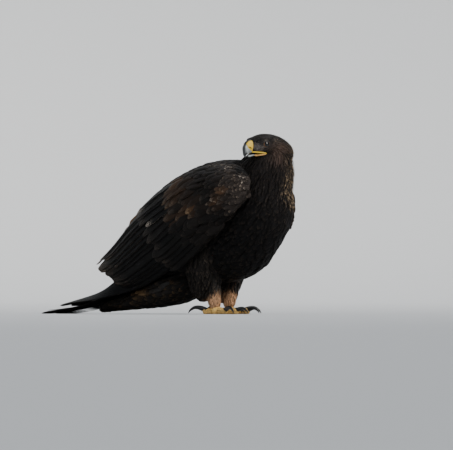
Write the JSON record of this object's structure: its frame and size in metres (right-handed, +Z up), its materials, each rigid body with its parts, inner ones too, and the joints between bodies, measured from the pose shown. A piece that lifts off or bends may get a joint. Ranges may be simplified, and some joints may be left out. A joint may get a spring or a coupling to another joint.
{
  "type": "golden eagle",
  "caption": "Life-size standing golden eagle, wings folded, head turned back over the right shoulder, tail resting on the floor.",
  "frame": {"origin": "on the floor, under the middle of the whole bird's bounding box", "axes": "+Z up; the breast and toes face -Y and the tail lies towards +Y; +X is the bird's left"},
  "size_m": [0.272, 0.705, 0.4479],
  "materials": {
    "feather_dark": "matt dark brown feathers",
    "feather_wing": "matt brown feathers with paler worn edges",
    "feather_black": "smooth blackish flight feathers",
    "feather_nape": "narrow brown neck feathers with tawny tips",
    "feather_leg": "short tan feathers on the shanks",
    "cere": "smooth yellow skin",
    "toe": "scaled yellow skin",
    "horn": "smooth grey horn, darker at the tip",
    "claw": "polished black horn",
    "eye": "wet dark brown eye"
  },
  "bodies": {
    "root": {"head": "feather_dark", "beak_upper": "horn", "cere": "cere", "beak_lower": "horn", "eye_left": "eye", "eye_right": "eye", "neck": "feather_nape", "torso": "feather_dark", "mantle": "feather_wing", "wing_left_arm": "feather_wing", "wing_left_hand": "feather_black", "thigh_left": "feather_dark", "tarsus_left": "feather_leg", "foot_left": "toe", "claw_left_inner": "claw", "claw_left_middle": "claw", "claw_left_outer": "claw", "claw_left_hind": "claw", "wing_right_arm": "feather_wing", "wing_right_hand": "feather_black", "thigh_right": "feather_dark", "tarsus_right": "feather_leg", "foot_right": "toe", "claw_right_inner": "claw", "claw_right_middle": "claw", "claw_right_outer": "claw", "claw_right_hind": "claw", "tail": "feather_black", "undertail": "feather_dark"}
  },
  "joints": []
}
